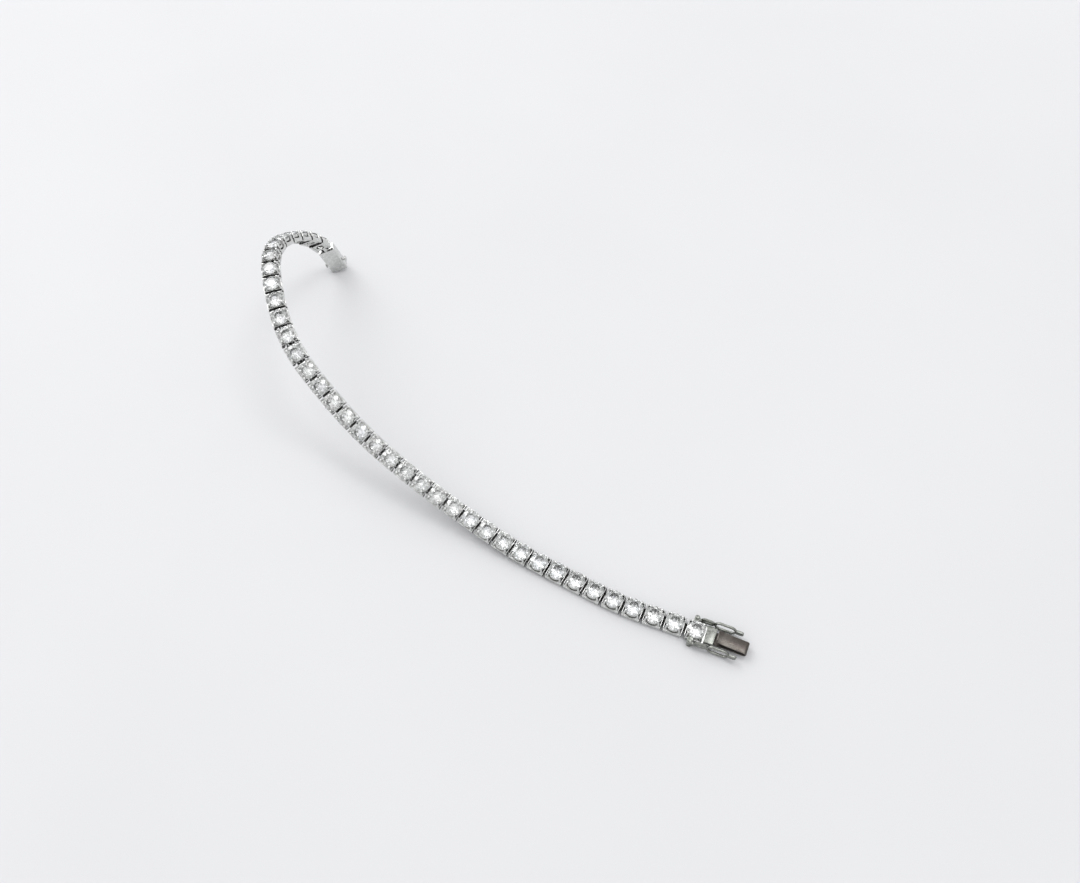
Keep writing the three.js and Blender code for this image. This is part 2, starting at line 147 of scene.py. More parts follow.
class Workpiece:
    """A mesh on the bench, in millimetres, shaped with the usual modelling tools."""

    def __init__(self, made: bpy.types.Object) -> None:
        """Takes up a mesh object.

        Args:
            made: The object that holds the mesh.
        """
        self.made = made

    @classmethod
    def start(cls, primitive: Callable, **settings: object) -> "Workpiece":
        """Adds a primitive at its size and place.

        Args:
            primitive: The operator that adds it.
            settings: The operator's own settings.

        Returns:
            The new workpiece.
        """
        deselect_all()
        primitive(**settings)
        bpy.ops.object.transform_apply(location=True, rotation=True, scale=True)
        return cls(bpy.context.object)

    @classmethod
    def block(cls, low: Sequence[float], high: Sequence[float]) -> "Workpiece":
        """Adds a block between two corners.

        Args:
            low: The lowest corner.
            high: The highest corner.

        Returns:
            The block.
        """
        middle = (Vector(low) + Vector(high)) / 2
        size = Vector(high) - Vector(low)
        return cls.start(bpy.ops.mesh.primitive_cube_add, size=1, location=middle, scale=size)

    @classmethod
    def bar(cls, start: Sequence[float], end: Sequence[float], radius: float, sides: int = 24) -> "Workpiece":
        """Adds a round bar between two points.

        Args:
            start: The middle of one end.
            end: The middle of the other end.
            radius: Its radius.
            sides: Its number of sides.

        Returns:
            The bar.
        """
        along = Vector(end) - Vector(start)
        return cls.start(
            bpy.ops.mesh.primitive_cylinder_add,
            vertices=sides,
            radius=radius,
            depth=along.length,
            location=(Vector(start) + Vector(end)) / 2,
            rotation=along.to_track_quat("Z", "Y").to_euler(),
        )

    def _hold(self) -> None:
        """Selects this workpiece alone and makes it active."""
        deselect_all()
        self.made.select_set(True)
        bpy.context.view_layer.objects.active = self.made

    @contextmanager
    def picked(self, part: Part, test: Callable[..., bool] = everything) -> Iterator[None]:
        """Opens the workpiece in edit mode with the parts that pass a test selected.

        Args:
            part: What is selected.
            test: Called with a point's place, an edge's middle and direction, or a face's middle and normal.

        Yields:
            Nothing; the operators that follow act on the selection.
        """
        self._hold()
        bpy.ops.object.mode_set(mode="EDIT")
        bpy.ops.mesh.select_mode(type=part.value)
        bpy.ops.mesh.select_all(action="DESELECT")
        shape = bmesh.from_edit_mesh(self.made.data)
        if part is Part.POINT:
            chosen = [v for v in shape.verts if test(v.co)]
        elif part is Part.EDGE:
            chosen = [e for e in shape.edges if test((e.verts[0].co + e.verts[1].co) / 2, _direction(e))]
        else:
            chosen = [f for f in shape.faces if test(f.calc_center_median(), f.normal)]
        for element in chosen:
            element.select_set(True)
        bmesh.update_edit_mesh(self.made.data)
        yield
        bpy.ops.object.mode_set(mode="OBJECT")

    def rounded(self, width: float, segments: int = 2, test: Callable[..., bool] = everything) -> "Workpiece":
        """Rounds edges off.

        Args:
            width: How far the rounding reaches from the edge.
            segments: Its number of steps.
            test: Picks the edges.

        Returns:
            The same workpiece.
        """
        with self.picked(Part.EDGE, test):
            bpy.ops.mesh.bevel(
                offset=width, segments=segments, profile=0.5, affect="EDGES", clamp_overlap=True
            )
        return self

    def modified(self, kind: str, **settings: object) -> "Workpiece":
        """Adds a modifier and applies it.

        Args:
            kind: The modifier's type.
            settings: Its own settings.

        Returns:
            The same workpiece.
        """
        self._hold()
        modifier = self.made.modifiers.new("tool", kind)
        for name, value in settings.items():
            setattr(modifier, name, value)
        bpy.ops.object.modifier_apply(modifier=modifier.name)
        return self

    def _combined(self, other: "Workpiece", operation: str) -> "Workpiece":
        """Joins or cuts with another workpiece, which is used up.

        Args:
            other: The other workpiece.
            operation: The Boolean modifier's operation.

        Returns:
            The same workpiece.
        """
        self.modified("BOOLEAN", object=other.made, operation=operation, solver="EXACT")
        bpy.data.objects.remove(other.made)
        return self

    def with_added(self, *others: "Workpiece") -> "Workpiece":
        """Solders other workpieces on, in order."""
        for other in others:
            self._combined(other, "UNION")
        return self

    def with_cut(self, *others: "Workpiece") -> "Workpiece":
        """Cuts other workpieces out, in order."""
        for other in others:
            self._combined(other, "DIFFERENCE")
        return self

    def placed(self, place: Matrix) -> "Workpiece":
        """Moves the mesh by a matrix, and turns its faces outwards again if that mirrored it.

        Args:
            place: The matrix, in millimetres.

        Returns:
            The same workpiece.
        """
        self.made.data.transform(place)
        if place.determinant() < 0:
            self.made.data.flip_normals()
        return self

    def copied(self) -> "Workpiece":
        """Makes a second workpiece of the same shape, with its own mesh."""
        twin = bpy.data.objects.new(self.made.name, self.made.data.copy())
        bpy.context.scene.collection.objects.link(twin)
        return Workpiece(twin)

    def cleaned(self) -> "Workpiece":
        """Merges doubles, drops slivers, turns the faces outwards and shades the curved ones smooth."""
        with self.picked(Part.POINT):
            bpy.ops.mesh.remove_doubles(threshold=MERGE_DISTANCE)
            bpy.ops.mesh.dissolve_degenerate(threshold=MERGE_DISTANCE)
            bpy.ops.mesh.normals_make_consistent(inside=False)
        self._hold()
        bpy.ops.object.shade_smooth_by_angle(angle=SMOOTH_ANGLE)
        return self

    def dressed(self, *finishes: bpy.types.Material) -> "Workpiece":
        """Gives the whole workpiece its finishes, the first of them on every face."""
        self.made.data.materials.clear()
        for finish in finishes:
            self.made.data.materials.append(finish)
        for face in self.made.data.polygons:
            face.material_index = 0
        return self

    def shaded(self, slot_index: int, test: Callable[[Vector, Vector], bool]) -> "Workpiece":
        """Gives the faces that pass a test another of the workpiece's finishes.

        Args:
            slot_index: Which of the finishes.
            test: Called with a face's middle and normal.

        Returns:
            The same workpiece.
        """
        for face in self.made.data.polygons:
            if test(face.center, face.normal):
                face.material_index = slot_index
        return self

    def scrap(self) -> None:
        """Clears the workpiece off the bench."""
        bpy.data.objects.remove(self.made)


def _direction(edge: bmesh.types.BMEdge) -> Vector:
    """The unit vector along an edge."""
    along = edge.verts[1].co - edge.verts[0].co
    return along.normalized() if along.length else UP.copy()


def hand_over(piece: Workpiece, name: str, place: Matrix, body: Body, slot: Slot, *nodes: str) -> None:
    """Sets a finished piece in the frame, in metres, hangs it on the body that it rides on, and hides the CAD
    nodes that it stands for.

    Args:
        piece: The workpiece, in millimetres in its sub-assembly's own axes.
        name: The piece's name.
        place: Where its axes lie, in millimetres.
        body: The CAD body that it rides on.
        slot: The record's material slot for its finish; not used.
        nodes: The CAD nodes that it stands for.
    """
    piece.made.data.transform(Matrix.Scale(MM, 4) @ place)
    piece.made.name = name
    piece.made.data.name = name
    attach(piece.made, body.value)
    if nodes:
        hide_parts(*nodes)
    log.info("%s: %d faces, rides on %s", name, len(piece.made.data.polygons), body.value)


# -------------------------------------------------------------------------------------------------
# Route of the chain
# -------------------------------------------------------------------------------------------------
@dataclass(frozen=True)
class Station:
    """A point of the line through the hinge pins, and the way the stones face there, in millimetres."""

    point: tuple[float, float, float]
    face: tuple[float, float, float]


@dataclass
class Route:
    """The line that the chain follows, from the clasp head over the wrist to the clasp box."""

    pitch: float = 4.8
    link_count: int = 36
    halvings: int = 40
    stations: tuple[Station, ...] = (
        Station(point=(97.0, -79.5, -26.6), face=(0.0, 0.0, 1.0)),
        Station(point=(83.5, -74.0, -26.6), face=(0.0, 0.0, 1.0)),
        Station(point=(71.0, -67.1, -26.6), face=(0.0, 0.0, 1.0)),
        Station(point=(58.5, -59.8, -25.8), face=(0.0, -0.15, 1.0)),
        Station(point=(46.5, -51.7, -23.6), face=(0.0, -0.3, 1.0)),
        Station(point=(35.0, -43.8, -20.3), face=(0.0, -0.45, 1.0)),
        Station(point=(24.0, -35.5, -16.0), face=(-0.15, -0.75, 1.0)),
        Station(point=(14.4, -26.9, -10.0), face=(-0.05, -0.9, 1.0)),
        Station(point=(6.1, -17.5, -3.5), face=(0.0, -0.45, 1.0)),
        Station(point=(1.0, -4.7, 0.3), face=(-0.05, -0.15, 1.0)),
        Station(point=(-1.6, 9.4, 0.0), face=(-0.1, 0.15, 1.0)),
        Station(point=(0.8, 20.8, -6.2), face=(-0.25, 0.8, 1.0)),
        Station(point=(5.6, 28.8, -16.6), face=(-0.3, 1.0, 0.4)),
        Station(point=(9.5, 30.5, -29.6), face=(-0.2, 1.0, 0.1)),
    )

    def _along(self, rows: Sequence[Sequence[float]], share: float) -> Vector:
        """A smooth curve's place at a share of its stations.

        Args:
            rows: The rows that the curve runs through.
            share: From 0 at the first row to the number of spans at the last.

        Returns:
            The place, by the Catmull-Rom formula.
        """
        spans = len(rows) - 1
        index = min(int(share), spans - 1)
        t = min(share, spans) - index
        here, there = Vector(rows[index]), Vector(rows[index + 1])
        before = Vector(rows[index - 1]) if index > 0 else 2 * here - there
        after = Vector(rows[index + 2]) if index + 2 <= spans else 2 * there - here
        bend = 2 * before - 5 * here + 4 * there - after
        twist = 3 * (here - there) + after - before
        return here + ((there - before) * t + bend * t**2 + twist * t**3) / 2

    def point(self, share: float) -> Vector:
        """The pin line's place."""
        return self._along([station.point for station in self.stations], share)

    def face(self, share: float) -> Vector:
        """The way the stones face."""
        return self._along([station.face for station in self.stations], share)

    def pins(self) -> list[float]:
        """The shares at which the hinge pins lie, each one pitch from the last in a straight line."""
        shares = [0.0]
        for _ in range(self.link_count):
            start = self.point(shares[-1])
            near, far = shares[-1], min(shares[-1] + 1, len(self.stations) - 1)
            for _ in range(self.halvings):
                middle = (near + far) / 2
                if (self.point(middle) - start).length < self.pitch:
                    near = middle
                else:
                    far = middle
            shares.append((near + far) / 2)
        return shares

    @staticmethod
    def framed(origin: Vector, along: Vector, face: Vector) -> Matrix:
        """Axes at an origin.

        Args:
            origin: Where they meet.
            along: The way x runs.
            face: The way z leans, as nearly as x allows.

        Returns:
            The matrix from those axes to the frame, in millimetres.
        """
        x_axis = along.normalized()
        z_axis = (face - x_axis * face.dot(x_axis)).normalized()
        y_axis = z_axis.cross(x_axis)
        turn = Matrix((x_axis, y_axis, z_axis)).transposed().to_4x4()
        return Matrix.Translation(origin) @ turn

    def link_frames(self) -> list[Matrix]:
        """The axes of each link: x towards the box, z the way its stone faces."""
        shares = self.pins()
        frames = []
        for near, far in zip(shares, shares[1:]):
            start, end = self.point(near), self.point(far)
            frames.append(self.framed((start + end) / 2, end - start, self.face((near + far) / 2)))
        return frames

    def head_frame(self) -> Matrix:
        """The axes of the clasp head, at the first pin, with x outwards along the tongue."""
        first, second = (Vector(station.point) for station in self.stations[:2])
        return self.framed(first, first - second, UP)

    def box_frame(self) -> Matrix:
        """The axes of the clasp box, at the last pin, with x outwards to the mouth."""
        last = self.pins()[-1]
        pin = self.point(last)
        ahead = self.point(min(last + 0.5, len(self.stations) - 1))
        return self.framed(pin, ahead - pin, self.face(last))


# -------------------------------------------------------------------------------------------------
# Finishes
# -------------------------------------------------------------------------------------------------
Socket = bpy.types.NodeSocket


class Recipe:
    """A material written node by node around one Principled shader."""

    def __init__(self, name: str) -> None:
        """Starts a material with an empty shader.

        Args:
            name: The material's name.
        """
        self.material = bpy.data.materials.new(name)
        self.material.use_nodes = True
        self.tree = self.material.node_tree
        self.shader = self.tree.nodes["Principled BSDF"]
        self.place = self.node("ShaderNodeTexCoord").outputs["Object"]

    def node(
        self, kind: str, inputs: dict[str | int, object] | None = None, **settings: object
    ) -> bpy.types.Node:
        """Adds a node.

        Args:
            kind: The node's type.
            inputs: Numbers to set on its inputs, or outputs of other nodes to join to them.
            settings: The node's own settings.

        Returns:
            The node.
        """
        made = self.tree.nodes.new(kind)
        for name, value in settings.items():
            setattr(made, name, value)
        for key, value in (inputs or {}).items():
            self.feed(made.inputs[key], value)
        return made

    def feed(self, socket: Socket, value: object) -> None:
        """Sets an input, or joins another node's output to it."""
        if isinstance(value, Socket):
            self.tree.links.new(value, socket)
        else:
            socket.default_value = value

    def set(self, **inputs: object) -> None:
        """Sets the shader's inputs; an underscore in a name stands for a space."""
        for name, value in inputs.items():
            self.feed(self.shader.inputs[name.replace("_", " ")], value)

    def noise(self, scale: float, detail: float = 3.0, stretch: Sequence[float] | None = None,
              turn: Sequence[float] = (0, 0, 0)) -> Socket:
        """A noise over the piece's own place.

        Args:
            scale: Its number of lumps in a metre.
            detail: Its number of finer layers.
            stretch: How much finer it is along each axis, or None for the same.
            turn: How the stretched axes are turned, in radians.

        Returns:
            Its value.
        """
        place = self.place
        if stretch:
            place = self.node("ShaderNodeMapping", {0: place, "Rotation": turn, "Scale": stretch}).outputs[0]
        inputs = {"Vector": place, "Scale": scale, "Detail": detail}
        return self.node("ShaderNodeTexNoise", inputs).outputs["Fac"]

    def ranged(self, value: Socket, low: float, high: float, start: float, end: float) -> Socket:
        """Maps a value's range, held at its ends.

        Args:
            value: The value.
            low: Where its range starts.
            high: Where its range ends.
            start: What low becomes.
            end: What high becomes.

        Returns:
            The mapped value.
        """
        inputs = {0: value, 1: low, 2: high, 3: start, 4: end}
        return self.node("ShaderNodeMapRange", inputs).outputs[0]

    def ramp(self, value: Socket, low: float, low_colour: Sequence[float], high: float,
             high_colour: Sequence[float]) -> Socket:
        """A colour between two, by a value.

        Args:
            value: The value.
            low: Where the first colour ends.
            low_colour: The first colour.
            high: Where the second colour starts.
            high_colour: The second colour.

        Returns:
            The colour.
        """
        made = self.node("ShaderNodeValToRGB", {0: value})
        for stop, position, colour in zip(made.color_ramp.elements, (low, high), (low_colour, high_colour)):
            stop.position = position
            stop.color = (*colour, 1)
        return made.outputs[0]

    def math(self, operation: str, first: object, second: object) -> Socket:
        """One sum of two values."""
        return self.node("ShaderNodeMath", {0: first, 1: second}, operation=operation).outputs[0]

    def bump(self, height: Socket, strength: float, depth: float) -> Socket:
        """A bumped normal.

        Args:
            height: The height of the surface.
            strength: How much of it shows.
            depth: The height from lowest to highest, in millimetres.

        Returns:
            The normal.
        """
        inputs = {"Height": height, "Strength": strength, "Distance": depth * MM}
        return self.node("ShaderNodeBump", inputs).outputs[0]


@dataclass(frozen=True)
class PolishedMetal:
    """Cast white metal: polished by wheel, slightly uneven in tone, with hairline scratches two ways."""

    name: str = "polished_white_metal"
    bright: tuple[float, float, float] = (0.70, 0.705, 0.695)
    dull: tuple[float, float, float] = (0.59, 0.595, 0.58)
    smoothest: float = 0.14
    roughest: float = 0.23
    tone_scale: float = 1500
    scratch_scale: float = 700
    scratch_roughness: float = 0.08
    scratch_strength: float = 0.35
    scratch_depth: float = 0.004

    def material(self) -> bpy.types.Material:
        """Writes the material."""
        recipe = Recipe(self.name)
        tone = recipe.noise(self.tone_scale, 4)
        one_way = recipe.noise(self.scratch_scale, 5, stretch=(1, 14, 14), turn=(0.3, 0.5, 0.8))
        other_way = recipe.noise(self.scratch_scale, 5, stretch=(13, 13, 1), turn=(0.9, 0.2, 0.4))
        one_way = recipe.ranged(one_way, 0.56, 0.62, 0, 1)
        other_way = recipe.ranged(other_way, 0.58, 0.64, 0, 1)
        scratches = recipe.math("ADD", one_way, other_way)
        rough = recipe.ranged(tone, 0.35, 0.65, self.smoothest, self.roughest)
        recipe.set(
            Base_Color=recipe.ramp(tone, 0.35, self.dull, 0.62, self.bright),
            Metallic=1.0,
            Roughness=recipe.math("ADD", rough, recipe.math("MULTIPLY", scratches, self.scratch_roughness)),
            Normal=recipe.bump(scratches, self.scratch_strength, self.scratch_depth),
        )
        return recipe.material


@dataclass(frozen=True)
class PaintedRecessShade:
    """Painted shade for white metal in the hinges, slots and gaps between links: matt, near black and
    unevenly dark.
    """

    name: str = "painted_recess_shade"
    darkest: tuple[float, float, float] = (0.012, 0.012, 0.011)
    lightest: tuple[float, float, float] = (0.07, 0.07, 0.066)
    mottle_scale: float = 2400
    grain_scale: float = 14000
    grain_depth: float = 0.01

    def material(self) -> bpy.types.Material:
        """Writes the material."""
        recipe = Recipe(self.name)
        mottle = recipe.noise(self.mottle_scale, 5)
        grain = recipe.noise(self.grain_scale, 3)
        recipe.set(
            # Painted shade: near black, mottled between the two levels
            Base_Color=recipe.ramp(mottle, 0.4, self.darkest, 0.7, self.lightest),
            Metallic=0.6,
            Roughness=recipe.ranged(grain, 0.3, 0.7, 0.45, 0.7),
            Normal=recipe.bump(grain, 0.5, self.grain_depth),
        )
        return recipe.material


@dataclass(frozen=True)
class SpringStrip:
    """Rolled spring strip: browned by heat, with a fine grain along its length."""

    name: str = "rolled_spring_strip"
    brown: tuple[float, float, float] = (0.085, 0.074, 0.068)
    grey: tuple[float, float, float] = (0.15, 0.14, 0.128)
    heat_scale: float = 330
    grain_scale: float = 900
    grain_turn: float = 0.386
    grain_depth: float = 0.006

    def material(self) -> bpy.types.Material:
        """Writes the material."""
        recipe = Recipe(self.name)
        heat = recipe.noise(self.heat_scale, 3)
        grain = recipe.noise(self.grain_scale, 4, stretch=(1, 16, 16), turn=(0, 0, self.grain_turn))
        recipe.set(
            Base_Color=recipe.ramp(heat, 0.38, self.brown, 0.62, self.grey),
            Metallic=1.0,
            Roughness=recipe.ranged(grain, 0.35, 0.65, 0.24, 0.42),
            Normal=recipe.bump(grain, 0.3, self.grain_depth),
        )
        return recipe.material


@dataclass(frozen=True)
class BrilliantStone:
    """Clear cut stone: colourless, with the faintest cool and warm drift inside."""

    name: str = "clear_cut_stone"
    cool: tuple[float, float, float] = (0.96, 0.98, 1.0)
    warm: tuple[float, float, float] = (1.0, 0.995, 0.98)
    refraction: float = 2.15
    drift_scale: float = 260
    haze_scale: float = 5000
    haziest: float = 0.02

    def material(self) -> bpy.types.Material:
        """Writes the material."""
        recipe = Recipe(self.name)
        drift = recipe.noise(self.drift_scale, 2)
        recipe.set(
            Base_Color=recipe.ramp(drift, 0.4, self.cool, 0.6, self.warm),
            Metallic=0.0,
            Roughness=recipe.ranged(recipe.noise(self.haze_scale, 2), 0.4, 0.8, 0.0, self.haziest),
            IOR=self.refraction,
            Transmission_Weight=1.0,
        )
        return recipe.material


@dataclass(frozen=True)
class PaleTable:
    """The pale matt surface that the bracelet lies on."""

    name: str = "pale_table"
    light: tuple[float, float, float] = (0.63, 0.63, 0.64)
    shade: tuple[float, float, float] = (0.61, 0.61, 0.62)
    patch_scale: float = 9
    roughness: float = 0.8

    def material(self) -> bpy.types.Material:
        """Writes the material."""
        recipe = Recipe(self.name)
        patches = recipe.noise(self.patch_scale, 3)
        recipe.set(
            Base_Color=recipe.ramp(patches, 0.3, self.shade, 0.7, self.light),
            Roughness=self.roughness,
        )
        return recipe.material


@dataclass
class Finishes:
    """All the finishes of the bracelet, mixed once."""

    metal: bpy.types.Material = field(default_factory=lambda: PolishedMetal().material())
    # Painted shade for the hinges, the gaps between links and the slots
    painted_shade: bpy.types.Material = field(default_factory=lambda: PaintedRecessShade().material())
    latch: bpy.types.Material = field(
        default_factory=lambda: PolishedMetal(
            name="drawn_latch_metal",
            bright=(0.31, 0.32, 0.295),
            dull=(0.22, 0.23, 0.21),
            smoothest=0.2,
            roughest=0.36,
        ).material()
    )
    spring: bpy.types.Material = field(default_factory=lambda: SpringStrip().material())
    stone: bpy.types.Material = field(default_factory=lambda: BrilliantStone().material())


# -------------------------------------------------------------------------------------------------
# Stone and setting
# -------------------------------------------------------------------------------------------------
@dataclass
class RoundBrilliant:
    """A round brilliant: a table, 32 crown facets, a fluted girdle and 24 pavilion facets, cut one by one.

    Heights are from the pin line of its link. A steepness is a share of the main facets' angle beside it.
    """

    diameter: float = 4.1
    girdle: float = 1.48
    girdle_thickness: float = 0.07
    table: float = 2.05
    table_share: float = 0.56
    culet: float = -0.18
    rough_spare: float = 0.5
    half_steepness: float = 1.18
    star_steepness: float = 0.62
    lower_half_steepness: float = 1.045
    sides: int = 32
    merge_distance: float = 0.01

    def _facets(
        self, piece: Workpiece, slope: float, edge: float, turns: Sequence[float], rise: float
    ) -> None:
        """Cuts a ring of equal facets.

        Args:
            piece: The rough stone.
            slope: The facets' angle to the girdle plane, in radians.
            edge: How far from the axis the facets meet the girdle's edge.
            turns: The directions that the facets face, in radians.
            rise: 1 for the crown, and -1 for the pavilion.
        """
        level = self.girdle + rise * self.girdle_thickness / 2
        for turn in turns:
            out = Vector((math.cos(turn), math.sin(turn), 0))
            normal = out * math.sin(slope) + UP * (rise * math.cos(slope))
            with piece.picked(Part.FACE):
                bpy.ops.mesh.bisect(
                    plane_co=out * edge + UP * level,
                    plane_no=normal,
                    use_fill=True,
                    clear_outer=True,
                    threshold=1e-5,
                )

    def cut(self) -> Workpiece:
        """Cuts the stone.

        Returns:
            The stone, with its axis on z.
        """
        radius = self.diameter / 2
        crown = self.table - self.girdle - self.girdle_thickness / 2
        pavilion = self.girdle - self.girdle_thickness / 2 - self.culet
        piece = Workpiece.bar((0, 0, self.culet - self.rough_spare), (0, 0, self.table), radius, self.sides)
        eighths = [math.tau * k / 8 for k in range(8)]
        between = [turn + math.tau / 16 for turn in eighths]
        halves = [turn + side * math.tau / 32 for turn in eighths for side in (-1, 1)]
        table_edge = radius * self.table_share
        main_slope = math.atan2(crown, radius - table_edge)
        main_reach = radius * math.cos(math.tau / self.sides / 2)
        self._facets(piece, main_slope, main_reach, eighths, 1)
        self._facets(piece, main_slope * self.half_steepness, main_reach, halves, 1)
        star_slope = main_slope * self.star_steepness
        star_edge = table_edge * math.cos(math.tau / 16) + crown / math.tan(star_slope)
        self._facets(piece, star_slope, star_edge, between, 1)
        pavilion_slope = math.atan2(pavilion, radius)
        self._facets(piece, pavilion_slope, main_reach, eighths, -1)
        self._facets(piece, pavilion_slope * self.lower_half_steepness, main_reach, halves, -1)
        with piece.picked(Part.POINT):
            bpy.ops.mesh.remove_doubles(threshold=self.merge_distance)
            bpy.ops.mesh.normals_make_consistent(inside=False)
        return piece


@dataclass
class Basket:
    """What holds one stone: four claws that lean in over its edge, and the seat ring that it sits in.

    Its axis is the stone's, and heights are from the pin line.
    """

    claw_along: float = 1.58
    claw_across: float = 1.80
    claw_sides: int = 12
    bead_reach: float = 2.02
    bead_height: float = 1.86
    bead_radius: float = 0.30
    bead_rings: int = 8
    bead_flatness: float = 0.82
    seat_bottom: float = 0.52
    seat_top: float = 1.22
    seat_radius: float = 2.03
    seat_sides: int = 32
    seat_rounding: float = 0.07
    bar_out: float = 2.16
    bar_in: float = 1.96
    bar_bottom: float = 0.12
    bar_top: float = 1.14
    bar_half_width: float = 2.05
    arch_half_width: float = 1.25
    arch_top: float = 0.7
    bar_rounding: float = 0.05
    # A claw from foot to tip: how far out it stands, as a share of its foot, its height and its radius
    claw_rows: tuple[tuple[float, float, float], ...] = (
        (1.05, -0.30, 0.33),
        (1.05, 0.20, 0.31),
        (1.01, 0.80, 0.275),
        (0.98, 1.30, 0.265),
        (0.945, 1.60, 0.25),
        (0.88, 1.84, 0.22),
    )

    def claw(self, along: int, across: int) -> Workpiece:
        """Draws one claw up from the corner of the base.

        Args:
            along: Which way its corner lies along the link, 1 or -1.
            across: Which way its corner lies across the link, 1 or -1.

        Returns:
            The claw.
        """
        foot = Vector((along * self.claw_along, across * self.claw_across, 0))
        share, height, radius = self.claw_rows[0]
        centre = foot * share + UP * height
        piece = Workpiece.start(
            bpy.ops.mesh.primitive_circle_add,
            vertices=self.claw_sides,
            radius=radius,
            fill_type="NGON",
            location=centre,
        )
        with piece.picked(Part.FACE):
            for share, height, next_radius in self.claw_rows[1:]:
                there = foot * share + UP * height
                bpy.ops.mesh.extrude_region_move(TRANSFORM_OT_translate={"value": there - centre})
                bpy.ops.transform.resize(value=(next_radius / radius,) * 3, center_override=there)
                centre, radius = there, next_radius
            bpy.ops.mesh.select_all(action="SELECT")
            bpy.ops.mesh.normals_make_consistent(inside=False)
        out = foot.normalized()
        bead = Workpiece.start(
            bpy.ops.mesh.primitive_uv_sphere_add,
            segments=self.claw_sides,
            ring_count=self.bead_rings,
            radius=self.bead_radius,
            location=out * self.bead_reach + UP * self.bead_height,
            scale=(1, 1, self.bead_flatness),
        )
        return piece.with_added(bead)

    def seat(self, stone: RoundBrilliant) -> Workpiece:
        """Turns the seat ring and bores it to the stone's pavilion.

        Args:
            stone: The stone that it holds.

        Returns:
            The ring.
        """
        bottom, top = (0, 0, self.seat_bottom), (0, 0, self.seat_top)
        ring = Workpiece.bar(bottom, top, self.seat_radius, self.seat_sides)
        ring.rounded(self.seat_rounding, 2, across(Z))
        level = stone.girdle - stone.girdle_thickness / 2
        depth = level - stone.culet
        bore = Workpiece.start(
            bpy.ops.mesh.primitive_cone_add,
            vertices=self.seat_sides,
            radius1=0,
            radius2=stone.diameter / 2,
            depth=depth,
            location=(0, 0, level - depth / 2),
        )
        return ring.with_cut(bore)

    def end_bar(self, along: int) -> Workpiece:
        """Makes the bar that joins two claws across one end, arched over the hinge.

        Args:
            along: Which end, 1 or -1.

        Returns:
            The bar.
        """
        ends = sorted((along * self.bar_in, along * self.bar_out))
        bar = Workpiece.block(
            (ends[0], -self.bar_half_width, self.bar_bottom), (ends[1], self.bar_half_width, self.bar_top)
        )
        arch = Workpiece.block(
            (ends[0] - OVERRUN, -self.arch_half_width, self.bar_bottom - OVERRUN),
            (ends[1] + OVERRUN, self.arch_half_width, self.arch_top),
        )
        return bar.with_cut(arch).rounded(self.bar_rounding, 2)

    def assemble(self, base: Workpiece, stone: RoundBrilliant, bars: Sequence[int]) -> Workpiece:
        """Solders the basket onto a base.

        Args:
            base: The base, with the stone's axis on z.
            stone: The stone that it holds.
            bars: The ends that have a bar.

        Returns:
            The base, with its basket.
        """
        claws = [self.claw(along, across) for along in (-1, 1) for across in (-1, 1)]
        return base.with_added(*claws, *[self.end_bar(along) for along in bars], self.seat(stone))


@dataclass
class Hinge:
    """The joint between two links: a centre tab that turns on a pin between two ears."""

    radius: float = 0.55
    hole: float = 0.30
    pin: float = 0.22
    tab_width: float = 0.8
    ear_width: float = 0.4
    ear_gap: float = 0.2
    plate_rounding: float = 0.05
    rivet_reach: float = 0.08
    rivet_rounding: float = 0.08
    sides: int = 16

    def _knuckle(self, root: float, pin: float, low: float, high: float) -> Workpiece:
        """A plate with a round end about the pin.

        Args:
            root: Where it starts along x.
            pin: Where the pin lies along x.
            low: One side of the plate.
            high: Its other side.

        Returns:
            The plate.
        """
        away = math.copysign(1, pin - root)
        tip = pin + away * self.radius
        ends = sorted((root, tip))
        plate = Workpiece.block((ends[0], low, -self.radius), (ends[1], high, self.radius))
        plate.rounded(
            self.radius * ROUND_END,
            6,
            lambda middle, way: along(Y)(middle, way) and abs(middle.x - tip) < EXACTLY,
        )
        return plate.rounded(
            self.plate_rounding,
            1,
            lambda middle, way: across(Y)(middle, way) and abs(middle.x - root) > EXACTLY,
        )

    def tab(self, root: float, pin: float) -> Workpiece:
        """The centre tab, drilled for the pin."""
        bore = Workpiece.bar((pin, -self.tab_width, 0), (pin, self.tab_width, 0), self.hole, self.sides)
        return self._knuckle(root, pin, -self.tab_width / 2, self.tab_width / 2).with_cut(bore)

    def ears(self, root: float, pin: float) -> list[Workpiece]:
        """The two ears."""
        near = self.tab_width / 2 + self.ear_gap
        far = near + self.ear_width
        return [self._knuckle(root, pin, near, far), self._knuckle(root, pin, -far, -near)]

    def riveted_pin(self, pin: float) -> Workpiece:
        """The pin, with its ends hammered round over the ears.

        Args:
            pin: Where it lies along x.

        Returns:
            The pin.
        """
        reach = self.tab_width / 2 + self.ear_gap + self.ear_width + self.rivet_reach
        piece = Workpiece.bar((pin, -reach, 0), (pin, reach, 0), self.pin, self.sides)
        return piece.rounded(self.rivet_rounding, 3, across(Y))


